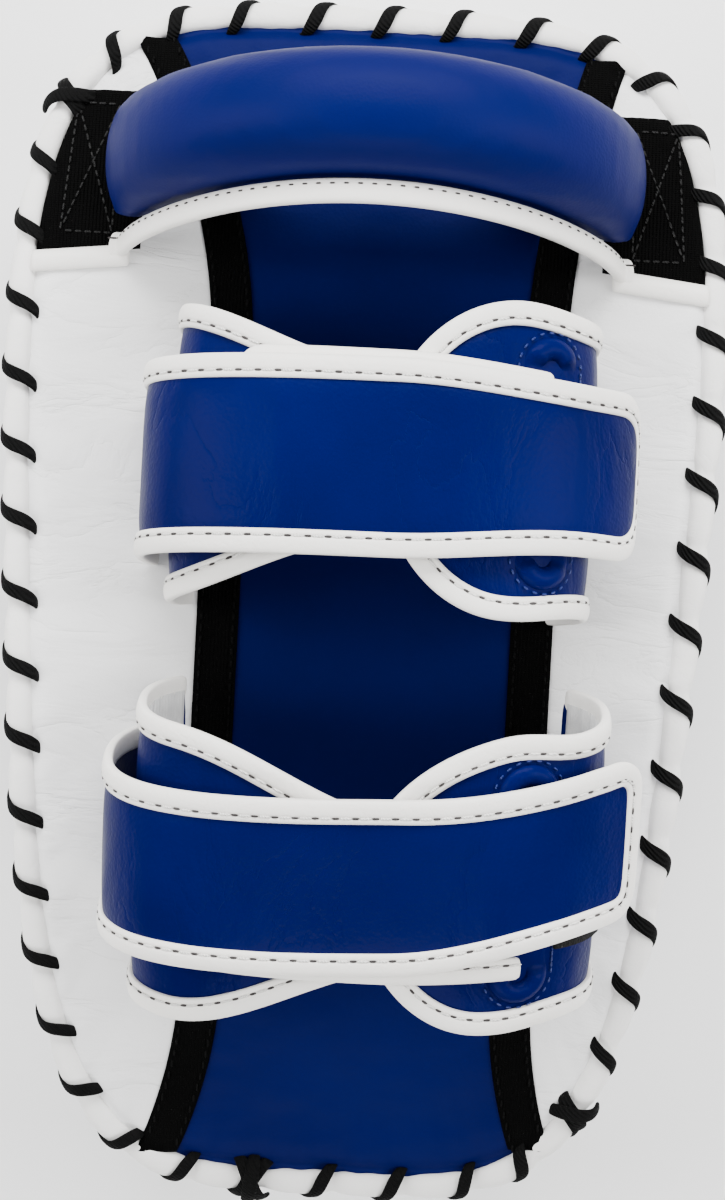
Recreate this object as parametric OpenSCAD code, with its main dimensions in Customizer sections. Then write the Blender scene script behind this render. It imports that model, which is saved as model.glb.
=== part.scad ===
// Curved kick shield with a padded hand guard and two forearm straps.
// It lies on its strike face. X is its width, Y its length, Z its thickness, back side up.

/* [Pad] */
// Length of the pad from rim to rim, straight across the curve
pad_l = 376; // [350:2:400]
// Width of the pad at its middle
pad_w = 215; // [206:1:226]
// Thickness of the pad, from strike face to back panels
pad_t = 90; // [70:1:100]
// Radius of the convex back, lengthwise
back_r = 600; // [560:10:900]
// Squareness of the outline, 2 being an ellipse
corner_n = 4.1; // [3.6:0.1:5]
// Thickness of the leather covers
skin_t = 2; // [1.5:0.1:2.5]

/* [Edge] */
// Width of the rolled rim
rim_w = 7; // [5:0.5:9]
// Height of the rolled rim
rim_h = 8.5; // [7:0.5:10]
// Number of turns of the lace around the rim
lace_turns = 46; // [36:1:52]
// Width of the flat lace
lace_w = 4.5; // [3:0.5:6]
// Thickness of the flat lace
lace_t = 1.1; // [0.8:0.1:1.5]

/* [Back] */
// Half-width of the centre panel, out to the outer edge of its tapes
centre_half = 55; // [52:1:58]
// Distance of the centre panel to the right of the pad's middle
centre_x = 7; // [0:1:8]
// Width of the webbing tapes
tape_w = 13; // [10:0.5:15]
// Thickness of the webbing tapes
tape_t = 1.2; // [0.8:0.1:1.6]

/* [Hand guard] */
// Distance of the hand guard from the middle of the pad
guard_y = 130; // [124:1:134]
// Half-span of the hand guard
guard_half = 77; // [72:1:80]
// Height of the hand guard's centre line at its middle
guard_h = 67; // [60:1:75]
// Radius of the hand guard's roll
guard_r = 21; // [17:1:23]
// Height of the grip's strap above the pad
grip_h = 28; // [26:1:29]
// Radius of the grip
grip_r = 9; // [7:0.5:9.5]

/* [Forearm straps] */
// Distance of the upper strap from the middle of the pad
upper_y = 40; // [36:1:46]
// Distance of the lower strap from the middle of the pad
lower_y = -70; // [-76:1:-64]
// Extra lean of the lower strap, towards the bottom of the pad
lower_lean = 9; // [4:1:12]
// Clear height of the arm tunnels
tunnel_h = 58; // [50:1:62]
// Thickness of a strap
band_t = 2.4; // [2:0.1:2.6]
// Width of the bindings along the strap edges
bind_w = 6.5; // [5:0.5:8]

/* [Hidden] */

WHITE = [0.86, 0.86, 0.85];
BLUE = [0.03, 0.18, 0.52];
BLACK = [0.06, 0.06, 0.06];
FOAM = [0.75, 0.72, 0.62];

// The covers and the foam are shells around one axis that runs along X
strike_r = back_r - pad_t;
wall_in = 5;
axis_z = -sqrt(pow(strike_r, 2) - pow(pad_l / 2 - wall_in, 2));
strike_foam_t = 18;
back_foam_t = 20;
rim_low = 6;
reach = 160;

// A strap is [cx, a, left low, right low, tilt, y, half-width of flap, shift of tongue, half-width of tongue,
//     reach of the flap's end, shift of flap, slant of flap, taper of flap and tongue,
//     rise of the flap's end, shift of the slotted cuff, angle of the flap's end,
//     where the cuff starts to narrow, length of the slotted cuff's curved upper edge]
UPPER = [5.5, 59.5, 48, 33, asin(upper_y / back_r), upper_y, 29, 1.5, 28, 6.5, -2.2, 0.01, 4, 0, 0, 0, -66, 40];
LOWER = [6.5, 66.5, 35, 29, asin(lower_y / back_r) - lower_lean, lower_y, 27, 0.5, 25.5, 8, 5, 0.05, 2, 6, 5, 12,
    -50, 56];

// Strap layers, as distances out from the clear tunnel
waist = 24;
layer = 3.2;
proud = 0.2;
cuff_half = 46;
slot_cuff_half = 47;
slot_x = 54;
slot_half = 32;
fold_at = 148;
end_from = 36;
glue = 0.15;
end_bind = 6;
SQUARE = 2.6;

// ---- Outline ----

function half_w(y) = pad_w / 2 + 0.066 * y - 0.00006 * y * y;
function outline_r(t) = pow(pow(abs(cos(t)) / (pad_w / 2), corner_n)
    + pow(abs(sin(t)) / (pad_l / 2), corner_n), -1 / corner_n);
function outline_at(t) = let (y = outline_r(t) * sin(t))
    [outline_r(t) * cos(t) * half_w(y) / (pad_w / 2), y];
function outline_n(t) = let (d = outline_at(t + 0.5) - outline_at(t - 0.5)) [d[1], -d[0]] / norm(d);
function inset(d, step = 3.75) = [for (t = [0:step:359.9]) outline_at(t) - d * outline_n(t)];

module prism(points) {
    translate([0, 0, -50]) linear_extrude(height = 350) polygon(points);
}

module barrel(r) {
    translate([0, 0, axis_z]) rotate([0, 90, 0]) cylinder(r = r, h = 2 * reach, center = true, $fn = 256);
}

// The curved layer between two radii
module shell(r_in, r_out) {
    difference() {
        barrel(r_out);
        barrel(r_in);
    }
}

module layer_in(r_in, r_out, d) {
    intersection() {
        prism(inset(d));
        shell(r_in, r_out);
    }
}

// The frame that stands on the back at y, tilted from upright by tilt, with its y along the pad
module on_back(y, tilt) {
    translate([0, y, axis_z + sqrt(back_r * back_r - y * y)]) rotate([-tilt, 0, 0]) children();
}

// ---- Pad ----

module strike_cover() color(BLUE) layer_in(strike_r, strike_r + skin_t, wall_in);

module side_wall() color(WHITE) difference() {
    layer_in(strike_r + skin_t, back_r - rim_low, wall_in);
    prism(inset(rim_w));
}

module strike_foam() color(FOAM) layer_in(strike_r + skin_t, strike_r + strike_foam_t, rim_w);

module core_foam() color(FOAM) layer_in(strike_r + strike_foam_t, back_r - back_foam_t, rim_w);

module back_foam() color(FOAM) layer_in(back_r - back_foam_t, back_r - skin_t, rim_w);

// ---- Back panels and tapes ----

// Half-width out to the tapes' outer edges, which flare near both ends of the pad
function tape_edge(y, side) = centre_half + (21 - 6.5 * side) * pow(max(0, (y - 70) / 100), 2)
    + 9 * pow(max(0, (-y - 120) / 50), 2);
function edge_line(d, side) = [for (y = [-200:10:200]) [centre_x + side * (tape_edge(y, side) - d), y]];
function flip(list) = [for (i = [len(list) - 1:-1:0]) list[i]];

module back_panel(side) {
    color(WHITE) intersection() {
        layer_in(back_r - skin_t, back_r, rim_w);
        prism(concat(edge_line(tape_w / 2, side), [[side * reach, 200], [side * reach, -200]]));
    }
}

module back_panel_left() back_panel(-1);

module back_panel_right() back_panel(1);

module centre_panel() {
    color(BLUE) intersection() {
        layer_in(back_r - skin_t, back_r, rim_w);
        prism(concat(edge_line(tape_w / 2, 1), flip(edge_line(tape_w / 2, -1))));
    }
}

module tape(side) {
    color(BLACK) intersection() {
        layer_in(back_r, back_r + tape_t, rim_w);
        prism(concat(edge_line(0, side), flip(edge_line(tape_w, side))));
    }
}

module tape_left() tape(-1);

module tape_right() tape(1);

// ---- Rim and lace ----

module edge_rim() color(WHITE) difference() {
    layer_in(back_r - rim_low, back_r - rim_low + rim_h, 0);
    prism(inset(rim_w));
}

// Point of the rim's centre line, its outward direction and the back's own upright there
function rim_r() = back_r - rim_low + rim_h / 2;
function rim_mid(t) = let (p = outline_at(t) - rim_w / 2 * outline_n(t))
    [p[0], p[1], axis_z + sqrt(pow(rim_r(), 2) - p[1] * p[1])];
function upright(p) = [0, p[1], p[2] - axis_z] / norm([0, p[1], p[2] - axis_z]);
function soft(v) = sign(v) * pow(abs(v), 0.6);

// Angles of evenly spaced turns, from the outline's running length
step_l = 1;
lengths = [for (t = 0, s = 0; t <= 360; t = t + step_l,
    s = s + norm(outline_at(t) - outline_at(t - step_l))) [s, t]];
outline_l = lengths[len(lengths) - 1][0];
turn_steps = 8;

function lace_at(i) = let (
    t = lookup(i * outline_l / (lace_turns * turn_steps), lengths),
    a = i * 360 / turn_steps,
    m = rim_mid(t),
    n = [outline_n(t)[0], outline_n(t)[1], 0])
    m + n * soft(cos(a)) * (rim_w + lace_t) / 2 + upright(m) * soft(sin(a)) * (rim_h + lace_t) / 2;

// Four corners of the flat lace where it crosses point i of its route
function lace_ring(i) = let (
    p = lace_at(i),
    along = (lace_at(i + 0.4) - lace_at(i - 0.4)) / norm(lace_at(i + 0.4) - lace_at(i - 0.4)),
    t = lookup(i * outline_l / (lace_turns * turn_steps), lengths),
    out = (p - rim_mid(t)) / norm(p - rim_mid(t)),
    wide = cross(along, out) / norm(cross(along, out)),
    thin = cross(wide, along))
    [for (k = [[-1, -1], [1, -1], [1, 1], [-1, 1]]) p + wide * k[0] * lace_w / 2 + thin * k[1] * lace_t / 2];

function ring_faces(rings, sides) = [for (i = [0:rings - 2], k = [0:sides - 1], half = [0, 1])
    let (a = i * sides + k, b = i * sides + (k + 1) % sides)
    half == 0 ? [a, b + sides, b] : [a, a + sides, b + sides]];

// Closed solid through a list of rings with the same number of points
module tube(rings) {
    n = len(rings[0]);
    m = len(rings);
    polyhedron(
        points = [for (r = rings, p = r) p],
        faces = concat(
            ring_faces(m, n),
            [[for (k = [0:n - 1]) k]],
            [[for (k = [n - 1:-1:0]) (m - 1) * n + k]]),
        convexity = 10);
}

module lacing() color(BLACK) tube([for (i = [0:lace_turns * turn_steps - 3]) lace_ring(i)]);

// ---- Hand guard and grip ----

guard_tilt = asin(guard_y / back_r);

// Centre line of the roll: height over x, and the roll's thickness, which thins at both sewn ends
function guard_z(x) = 3 + (guard_h - 3) * pow(1 - pow(x / (guard_half + 1), 2), 0.75);
function guard_thick(x, r) = r - guard_r + 3 + (guard_r - 3) * pow(1 - pow(abs(x) / (guard_half + 1), 5), 0.5);
function guard_ring(x, r, shift, wide) = let (
    d = [2, guard_z(x + 1) - guard_z(x - 1)],
    up = [-d[1], d[0]] / norm(d))
    [for (a = [0:22.5:359]) let (u = guard_thick(x, r) * sin(a))
        [x + up[0] * u, shift + wide * cos(a), guard_z(x) + up[1] * u]];
function guard_xs(half) = [for (a = [-80:8:80]) half * sin(a) / sin(80)];

module guard_roll(r) {
    half = guard_half - (guard_r - r);
    on_back(guard_y, guard_tilt) tube([for (x = guard_xs(half)) guard_ring(x, r, 0, r)]);
}

module guard_cover() color(BLUE) difference() {
    guard_roll(guard_r);
    guard_roll(guard_r - skin_t);
    barrel(back_r + 2);
}

module guard_foam() color(FOAM) difference() {
    guard_roll(guard_r - skin_t);
    barrel(back_r + 2);
}

// The piping follows the lower edge of the roll
function piping_ring(x) = [for (a = [0:45:359])
    [x, -guard_r - 3 + 3 * cos(a), guard_z(x) + 3 * sin(a)]];

module guard_piping() color(WHITE) difference() {
    on_back(guard_y, guard_tilt) tube([for (x = guard_xs(guard_half)) piping_ring(x)]);
    barrel(back_r + 2);
}

// Tab of webbing that sews one end of the guard to the pad
tab_in = guard_half + 1;
tab_low = guard_y - 24;
tab_high = guard_y + 26;

module guard_tab(side) {
    color(BLACK) intersection() {
        layer_in(back_r, back_r + 2, rim_w + 0.2);
        prism([[side * tab_in, tab_low], [side * reach, tab_low - 4],
            [side * reach, tab_high], [side * tab_in, tab_high + 4]]);
    }
}

module guard_tab_left() guard_tab(-1);

module guard_tab_right() guard_tab(1);

module guard_tab_binding(side) {
    color(WHITE) intersection() {
        layer_in(back_r, back_r + 2.6, rim_w + 0.2);
        prism([[side * tab_in, tab_low], [side * reach, tab_low - 4],
            [side * reach, tab_low - 10], [side * tab_in, tab_low - 6]]);
    }
}

module guard_tab_binding_left() guard_tab_binding(-1);

module guard_tab_binding_right() guard_tab_binding(1);

grip_half = 26;
grip_foot = 52;

module grip_band() {
    rotate([90, 0, 0]) linear_extrude(height = 25, center = true) polygon([
        [-grip_foot - 3, -4], [-grip_half - 6, grip_h], [grip_half + 6, grip_h], [grip_foot + 3, -4],
        [grip_foot, -4], [grip_half + 4, grip_h - band_t], [-grip_half - 4, grip_h - band_t], [-grip_foot, -4]]);
}

module grip_strap() color(BLACK) difference() {
    on_back(guard_y - 4, guard_tilt) intersection() {
        grip_band();
        cube([300, 18, 300], center = true);
    }
    barrel(back_r + tape_t);
}

module grip_roll() color(BLACK) on_back(guard_y - 4, guard_tilt) difference() {
    translate([0, 0, grip_h - band_t / 2]) rotate([0, 90, 0])
        cylinder(r = grip_r, h = 2 * grip_half, center = true, $fn = 64);
    intersection() {
        grip_band();
        cube([300, 18, 300], center = true);
    }
}

// ---- Forearm straps ----

// Point of a strap's closed curve, out from the clear tunnel by o, at angle t from its right side
function strap_low(s, t) = cos(t) < 0 ? s[2] : s[3];
// The flap's end reaches out further, by e
function ease(v) = v <= 0 ? 0 : v >= 1 ? 1 : v * v * (3 - 2 * v);
function strap_at(s, o, t, e) = [
    s[0] + (s[1] + o + (t > 0 ? e * (1 - ease(t / end_from)) : 0)) * sign(cos(t)) * pow(abs(cos(t)), 2 / SQUARE),
    waist + (sin(t) > 0 ? tunnel_h - waist : strap_low(s, t)) * sign(sin(t)) * pow(abs(sin(t)), 2 / SQUARE)
        + o * sign(sin(t)) * pow(abs(sin(t)), 2 / SQUARE)];

// Strap material between two distances out and two angles
module ribbon(s, o1, o2, t1, t2, e = 0) {
    n = ceil((t2 - t1) / 6);
    outer = [for (i = [0:n]) strap_at(s, o2, t1 + (t2 - t1) * i / n, e)];
    inner = [for (i = [n:-1:0]) strap_at(s, o1, t1 + (t2 - t1) * i / n, e)];
    rotate([90, 0, 0]) linear_extrude(height = 140, center = true) polygon(concat(outer, inner));
}

// Places a strap on the back and trims its feet to the surface at radius r
module strap(s, r) {
    difference() {
        on_back(s[5], s[4]) children();
        barrel(r);
    }
}

module plan(points) {
    translate([0, 0, -80]) linear_extrude(height = 300) polygon(points);
}

function mirrored(pts) = concat(pts, [for (p = flip(pts)) [p[0], -p[1]]]);

// Plan outlines, moved in by d at their edges
function cuff_plan(s, d) = mirrored(concat([[-110, cuff_half - d]],
    [for (x = [-66:6:12]) [x, s[8] - 2 - d + (cuff_half - s[8] + 2) * (1 - ease((x - s[16]) / 70))]]));
function moved(v, pts) = [for (p = pts) [p[0], p[1] + v]];
function slot_side(d, tip) = concat(
    [for (a = [180:-7.5:90]) [6 + tip + (tip - d) * cos(a), (slot_cuff_half - d) * sin(a)]],
    [[70, slot_cuff_half - 3 - d], [120, slot_cuff_half - 3 - d]]);
function slot_cuff_plan(s, d) = moved(s[14], concat(slot_side(d, s[17]),
    [for (p = flip(slot_side(d, 38))) [p[0], -p[1]]]));
function taper(s, x) = s[12] * ease((x - 10) / 60);
function tongue_plan(s, d) = concat(
    [for (x = [-90:10:90]) [x, s[7] - s[8] + taper(s, x) + d]],
    [for (x = [90:-10:-90]) [x, s[7] + s[8] - taper(s, x) - d]]);
function flap_mid(s, x) = s[10] + s[11] * x + s[13] * ease((x - 20) / 60);
function flap_plan(s, d) = concat(
    [for (x = [-120:10:120]) [x, flap_mid(s, x) - s[6] + taper(s, x) + d]],
    [for (x = [120:-10:-120]) [x, flap_mid(s, x) + s[6] - taper(s, x) - d]]);
function even_plan(x1, x2, y1, y2) = [[x1, y1], [x2, y1], [x2, y2], [x1, y2]];
function pill(s, half_x, half_y) = let (x = slot_x) moved(s[14], mirrored(concat(
    [for (a = [180:-15:90]) [x + half_x * cos(a), half_y - half_x + half_x * sin(a)]],
    [for (a = [90:-15:0]) [x + half_x * cos(a), half_y - half_x + half_x * sin(a)]])));

// Angle of the strap's curve above the slot
function slot_t(s) = acos(pow((slot_x - s[0]) / (s[1] + 5), SQUARE / 2));

module cuff(s) {
    strap(s, back_r + tape_t) intersection() {
        ribbon(s, 0, band_t, 84, 240);
        plan(cuff_plan(s, bind_w));
    }
}

module cuff_binding(s) {
    strap(s, back_r + tape_t) difference() {
        intersection() {
            ribbon(s, -proud, band_t + proud, 84, 240);
            plan(cuff_plan(s, 0));
        }
        plan(cuff_plan(s, bind_w));
    }
}

module cuff_loop(s) {
    strap(s, back_r + tape_t) intersection() {
        ribbon(s, band_t + glue, 4.2, 93, 122);
        plan(even_plan(-70, 20, -17, 17));
    }
}

module pull_strap(s) {
    t = slot_t(s);
    strap(s, back_r + tape_t) intersection() {
        union() {
            ribbon(s, -band_t - 0.4, -0.4, t - 1.2, 116);
            ribbon(s, -1, 2 * layer - 0.5, t - 1.2, t + 1.2);
        }
        plan(tongue_plan(s, 1));
    }
}

module slot_cuff(s) {
    strap(s, back_r + tape_t) difference() {
        intersection() {
            ribbon(s, layer, layer + band_t, -60, 84);
            plan(slot_cuff_plan(s, bind_w));
        }
        plan(pill(s, 8, 37));
    }
}

module slot_cuff_binding(s) {
    strap(s, back_r + tape_t) difference() {
        intersection() {
            ribbon(s, layer - proud, layer + band_t + proud, -60, 92);
            plan(slot_cuff_plan(s, 0));
        }
        plan(slot_cuff_plan(s, bind_w));
    }
}

module slot_ring(s) {
    strap(s, back_r) intersection() {
        ribbon(s, layer - proud, layer + band_t + proud, 10, 80);
        difference() {
            plan(pill(s, 8, 37));
            plan(pill(s, 3, slot_half));
        }
    }
}

module slot_cuff_loop(s) {
    strap(s, back_r) intersection() {
        ribbon(s, layer + band_t + glue, 7.4, 14, slot_t(s) - 9);
        plan(even_plan(slot_x + 9, 140, -16, 20));
    }
}

module tongue(s) {
    strap(s, back_r) intersection() {
        ribbon(s, 2 * layer, 2 * layer + band_t, slot_t(s), 124 - end_bind);
        plan(tongue_plan(s, bind_w));
    }
}

module tongue_binding(s) {
    strap(s, back_r) difference() {
        intersection() {
            ribbon(s, 2 * layer - proud, 2 * layer + band_t + proud, slot_t(s), 124);
            plan(tongue_plan(s, 0));
        }
        intersection() {
            ribbon(s, 0, 20, slot_t(s) - 5, 124 - end_bind);
            plan(tongue_plan(s, bind_w));
        }
    }
}

module tongue_hook(s) {
    strap(s, back_r) intersection() {
        ribbon(s, 4.6, 2 * layer - glue, 95, 117);
        plan(even_plan(-70, 20, -16, 16));
    }
}

module flap_ribbon(s, d, t1, t2, extra) {
    intersection() {
        ribbon(s, 3 * layer - extra, 3 * layer + band_t + extra, t1, t2, s[9]);
        plan(flap_plan(s, d));
    }
}

module flap_base(s) {
    strap(s, back_r) flap_ribbon(s, bind_w, fold_at, 240, 0);
}

module flap_base_binding(s) {
    strap(s, back_r) difference() {
        flap_ribbon(s, 0, fold_at, 240, proud);
        plan(flap_plan(s, bind_w));
    }
}

module flap(s) {
    strap(s, back_r) flap_ribbon(s, bind_w, s[15] + end_bind, fold_at, 0);
}

module flap_binding(s) {
    strap(s, back_r) difference() {
        flap_ribbon(s, 0, s[15], fold_at, proud);
        intersection() {
            ribbon(s, 0, 20, s[15] + end_bind, fold_at + 5, s[9]);
            plan(flap_plan(s, bind_w));
        }
    }
}

module flap_hook(s) {
    strap(s, back_r) intersection() {
        ribbon(s, 7.8, 3 * layer - glue, s[15] + end_bind + 2, slot_t(s) - 9, s[9]);
        intersection() {
            plan(flap_plan(s, bind_w + 1));
            plan(even_plan(slot_x + 9, 140, -30, 30));
        }
    }
}

module upper_cuff() color(BLUE) cuff(UPPER);
module upper_cuff_binding() color(WHITE) cuff_binding(UPPER);
module upper_cuff_loop() color(BLACK) cuff_loop(UPPER);
module upper_pull_strap() color(BLUE) pull_strap(UPPER);
module upper_slot_cuff() color(BLUE) slot_cuff(UPPER);
module upper_slot_cuff_binding() color(WHITE) slot_cuff_binding(UPPER);
module upper_slot_ring() color(BLUE) slot_ring(UPPER);
module upper_slot_cuff_loop() color(BLACK) slot_cuff_loop(UPPER);
module upper_tongue() color(BLUE) tongue(UPPER);
module upper_tongue_binding() color(WHITE) tongue_binding(UPPER);
module upper_tongue_hook() color(BLACK) tongue_hook(UPPER);
module upper_flap_base() color(BLUE) flap_base(UPPER);
module upper_flap_base_binding() color(WHITE) flap_base_binding(UPPER);
module upper_flap() color(BLUE) flap(UPPER);
module upper_flap_binding() color(WHITE) flap_binding(UPPER);
module upper_flap_hook() color(BLACK) flap_hook(UPPER);

module lower_cuff() color(BLUE) cuff(LOWER);
module lower_cuff_binding() color(WHITE) cuff_binding(LOWER);
module lower_cuff_loop() color(BLACK) cuff_loop(LOWER);
module lower_pull_strap() color(BLUE) pull_strap(LOWER);
module lower_slot_cuff() color(BLUE) slot_cuff(LOWER);
module lower_slot_cuff_binding() color(WHITE) slot_cuff_binding(LOWER);
module lower_slot_ring() color(BLUE) slot_ring(LOWER);
module lower_slot_cuff_loop() color(BLACK) slot_cuff_loop(LOWER);
module lower_tongue() color(BLUE) tongue(LOWER);
module lower_tongue_binding() color(WHITE) tongue_binding(LOWER);
module lower_tongue_hook() color(BLACK) tongue_hook(LOWER);
module lower_flap_base() color(BLUE) flap_base(LOWER);
module lower_flap_base_binding() color(WHITE) flap_base_binding(LOWER);
module lower_flap() color(BLUE) flap(LOWER);
module lower_flap_binding() color(WHITE) flap_binding(LOWER);
module lower_flap_hook() color(BLACK) flap_hook(LOWER);

strike_cover();
side_wall();
strike_foam();
core_foam();
back_foam();
back_panel_left();
back_panel_right();
centre_panel();
tape_left();
tape_right();
edge_rim();
lacing();
guard_cover();
guard_foam();
guard_piping();
guard_tab_left();
guard_tab_right();
guard_tab_binding_left();
guard_tab_binding_right();
grip_strap();
grip_roll();
upper_cuff();
upper_cuff_binding();
upper_cuff_loop();
upper_pull_strap();
upper_slot_cuff();
upper_slot_cuff_binding();
upper_slot_ring();
upper_slot_cuff_loop();
upper_tongue();
upper_tongue_binding();
upper_tongue_hook();
upper_flap_base();
upper_flap_base_binding();
upper_flap();
upper_flap_binding();
upper_flap_hook();
lower_cuff();
lower_cuff_binding();
lower_cuff_loop();
lower_pull_strap();
lower_slot_cuff();
lower_slot_cuff_binding();
lower_slot_ring();
lower_slot_cuff_loop();
lower_tongue();
lower_tongue_binding();
lower_tongue_hook();
lower_flap_base();
lower_flap_base_binding();
lower_flap();
lower_flap_binding();
lower_flap_hook();
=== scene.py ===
import math

import bpy
import bmesh
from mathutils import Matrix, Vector, noise


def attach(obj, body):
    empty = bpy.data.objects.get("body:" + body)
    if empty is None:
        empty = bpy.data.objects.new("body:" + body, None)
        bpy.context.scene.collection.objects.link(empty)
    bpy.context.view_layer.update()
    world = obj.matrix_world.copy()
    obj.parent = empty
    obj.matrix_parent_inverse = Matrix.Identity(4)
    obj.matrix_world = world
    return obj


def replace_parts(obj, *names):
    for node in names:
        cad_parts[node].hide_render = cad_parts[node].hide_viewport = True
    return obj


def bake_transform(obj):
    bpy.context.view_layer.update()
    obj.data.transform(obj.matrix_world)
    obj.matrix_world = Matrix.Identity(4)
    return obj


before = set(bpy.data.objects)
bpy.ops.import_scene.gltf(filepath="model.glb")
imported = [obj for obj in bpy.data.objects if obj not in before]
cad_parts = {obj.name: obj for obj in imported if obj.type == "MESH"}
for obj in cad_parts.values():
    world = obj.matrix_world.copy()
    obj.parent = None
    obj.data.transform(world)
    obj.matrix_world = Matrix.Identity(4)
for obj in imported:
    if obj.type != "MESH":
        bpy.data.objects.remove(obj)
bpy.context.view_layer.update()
MM = 0.001

# ---------------------------------------------------------------- sizes, in millimetres, near the CAD's own
PAD_L, PAD_W, PAD_T = 376, 215, 90
BACK_R, CORNER_N, WALL_IN = 600, 4.1, 5
CENTRE_X, CENTRE_HALF, TAPE_W = 7, 55, 13
LACE_TURNS = 46
UNDER_PANELS = 2.2      # depth of the soft body under the back panels
WELT_IN, WELT_DEPTH, WELT_R = 7.4, 86.4, 2.9
GUARD_Y, GUARD_HALF, GUARD_H, GUARD_R = 130, 77, 67, 21
GRIP_H, GRIP_R, GRIP_HALF = 28, 9, 26
AXIS_Z = -math.sqrt((BACK_R - PAD_T) ** 2 - (PAD_L / 2 - WALL_IN) ** 2)
WAIST, TUNNEL_H, SQUARE = 24, 58, 2.6
LAYER, BAND_T, BIND_W = 3.2, 2.4, 7
CUFF_HALF, SLOT_CUFF_HALF, SLOT_X = 46, 47, 54
FOLD_AT, END_FROM, TONGUE_END = 148, 36, 124

SLOT_R, SLOT_REACH = 6, 28
GROOVE, STITCH_PITCH = 4.9, 5.8

# cx, a: middle and half-width of the closed curve; low: how far its left and right sides go under WAIST
# y, lean: place along the pad, and degrees turned from upright; end: angle of the flap's right end
# flap, tongue: half-widths of the ends, less thin towards the right; shift: the tongue's offset along the pad
# slide, slant, rise: the flap's offset, its slope and its lift at the right; reach: how far it stands off
# lift, tip: offset of the slotted cuff and length of its curved upper edge; neck: where the left cuff narrows
# round_by: radius of the flap's corners
STRAPS = {
    "upper": dict(cx=5.5, a=59.5, low=(48, 33), y=40, lean=0, flap=29, shift=1.5, tongue=28, reach=6.5,
                  slide=-2.2, slant=0.01, thin=4, rise=0, lift=0, end=0, neck=-66, tip=40, round_by=17),
    "lower": dict(cx=6.5, a=66.5, low=(35, 29), y=-70, lean=9, flap=27, shift=0.5, tongue=25.5, reach=8,
                  slide=5, slant=0.05, thin=2, rise=6, lift=5, end=12, neck=-50, tip=56, round_by=10),
}
LOWER_TIP = 38          # length of a slotted cuff's curved lower edge


def ease(v):
    v = min(max(v, 0), 1)
    return v * v * (3 - 2 * v)


# ---------------------------------------------------------------- outline of the pad
def half_w(y):
    """Half the pad's width at y: it is wider towards the hand guard."""
    return PAD_W / 2 + 0.066 * y - 0.00006 * y * y


def outline_r(t):
    """Radius at angle t of the squarish curve that the outline is made from."""
    c, s = abs(math.cos(t)) / (PAD_W / 2), abs(math.sin(t)) / (PAD_L / 2)
    return (c ** CORNER_N + s ** CORNER_N) ** (-1 / CORNER_N)


def outline_at(t):
    r = outline_r(t)
    y = r * math.sin(t)
    return Vector((r * math.cos(t) * half_w(y) / (PAD_W / 2), y))


def outline_n(t):
    """Way out of the outline at angle t."""
    d = outline_at(t + 0.008) - outline_at(t - 0.008)
    return Vector((d.y, -d.x)).normalized()


STEPS = 1440
RUN = [0.0]
for i in range(1, STEPS + 1):
    RUN.append(RUN[-1] + (outline_at(math.tau * i / STEPS) - outline_at(math.tau * (i - 1) / STEPS)).length)
OUTLINE_L = RUN[-1]
PITCH = OUTLINE_L / LACE_TURNS


def angle_of(s):
    """Angle of the outline's point at running length s."""
    s = s % OUTLINE_L
    lo, hi = 0, STEPS
    while hi - lo > 1:
        mid = (lo + hi) // 2
        if RUN[mid] <= s:
            lo = mid
        else:
            hi = mid
    return math.tau * (lo + (s - RUN[lo]) / (RUN[hi] - RUN[lo])) / STEPS


def run_of(t):
    """Running length of the outline up to angle t."""
    i = (t % math.tau) / math.tau * STEPS
    k = min(int(i), STEPS - 1)
    return RUN[k] + (RUN[k + 1] - RUN[k]) * (i - k)


def on_back(x, y, h):
    """Point at height h out from the convex back, above plan position x, y."""
    up = Vector((0, y, math.sqrt(BACK_R ** 2 - y * y))) / BACK_R
    return Vector((x, y + up.y * h, AXIS_Z + up.z * (BACK_R + h))) * MM


def below_back(x, y, depth):
    """Point straight under the back, depth measured along the radius, as the side wall runs."""
    return Vector((x, y, AXIS_Z + math.sqrt((BACK_R - depth) ** 2 - y * y))) * MM


def rim_point(s, inset, h):
    """Point on the rim at running length s, moved in by inset and out of the back by h."""
    t = angle_of(s)
    p = outline_at(t) - inset * outline_n(t)
    return on_back(p.x, p.y, h)


def edge_distance(x, y):
    """Distance in from the outline and the running length along it."""
    xs = x * (PAD_W / 2) / half_w(y)
    t = math.atan2(y, xs)
    return (1 - math.hypot(xs, y) / outline_r(t)) * outline_r(t) * 0.9, run_of(t)


def tape_edge(y, side):
    """Distance of a tape's outer edge from the middle of the centre panel."""
    return CENTRE_HALF + (21 - 6.5 * side) * max(0, (y - 70) / 100) ** 2 + 9 * max(0, (-y - 120) / 50) ** 2


# ---------------------------------------------------------------- mesh helpers
def piece(name, verts, faces, mats, body):
    """New smooth-shaded piece that rides on a body."""
    me = bpy.data.meshes.new(name)
    me.from_pydata([tuple(v) for v in verts], [], faces)
    for m in mats:
        me.materials.append(m)
    bm = bmesh.new()
    bm.from_mesh(me)
    bmesh.ops.recalc_face_normals(bm, faces=bm.faces)
    bm.to_mesh(me)
    bm.free()
    me.polygons.foreach_set("use_smooth", [True] * len(me.polygons))
    obj = bpy.data.objects.new(name, me)
    bpy.context.collection.objects.link(obj)
    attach(obj, body)
    return obj


def grid_faces(rows, cols, wrap=False, start=0):
    faces = []
    for i in range(rows - 1):
        for j in range(cols if wrap else cols - 1):
            k = (j + 1) % cols
            a, b = start + i * cols, start + (i + 1) * cols
            faces.append((a + j, a + k, b + k, b + j))
    return faces


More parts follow.
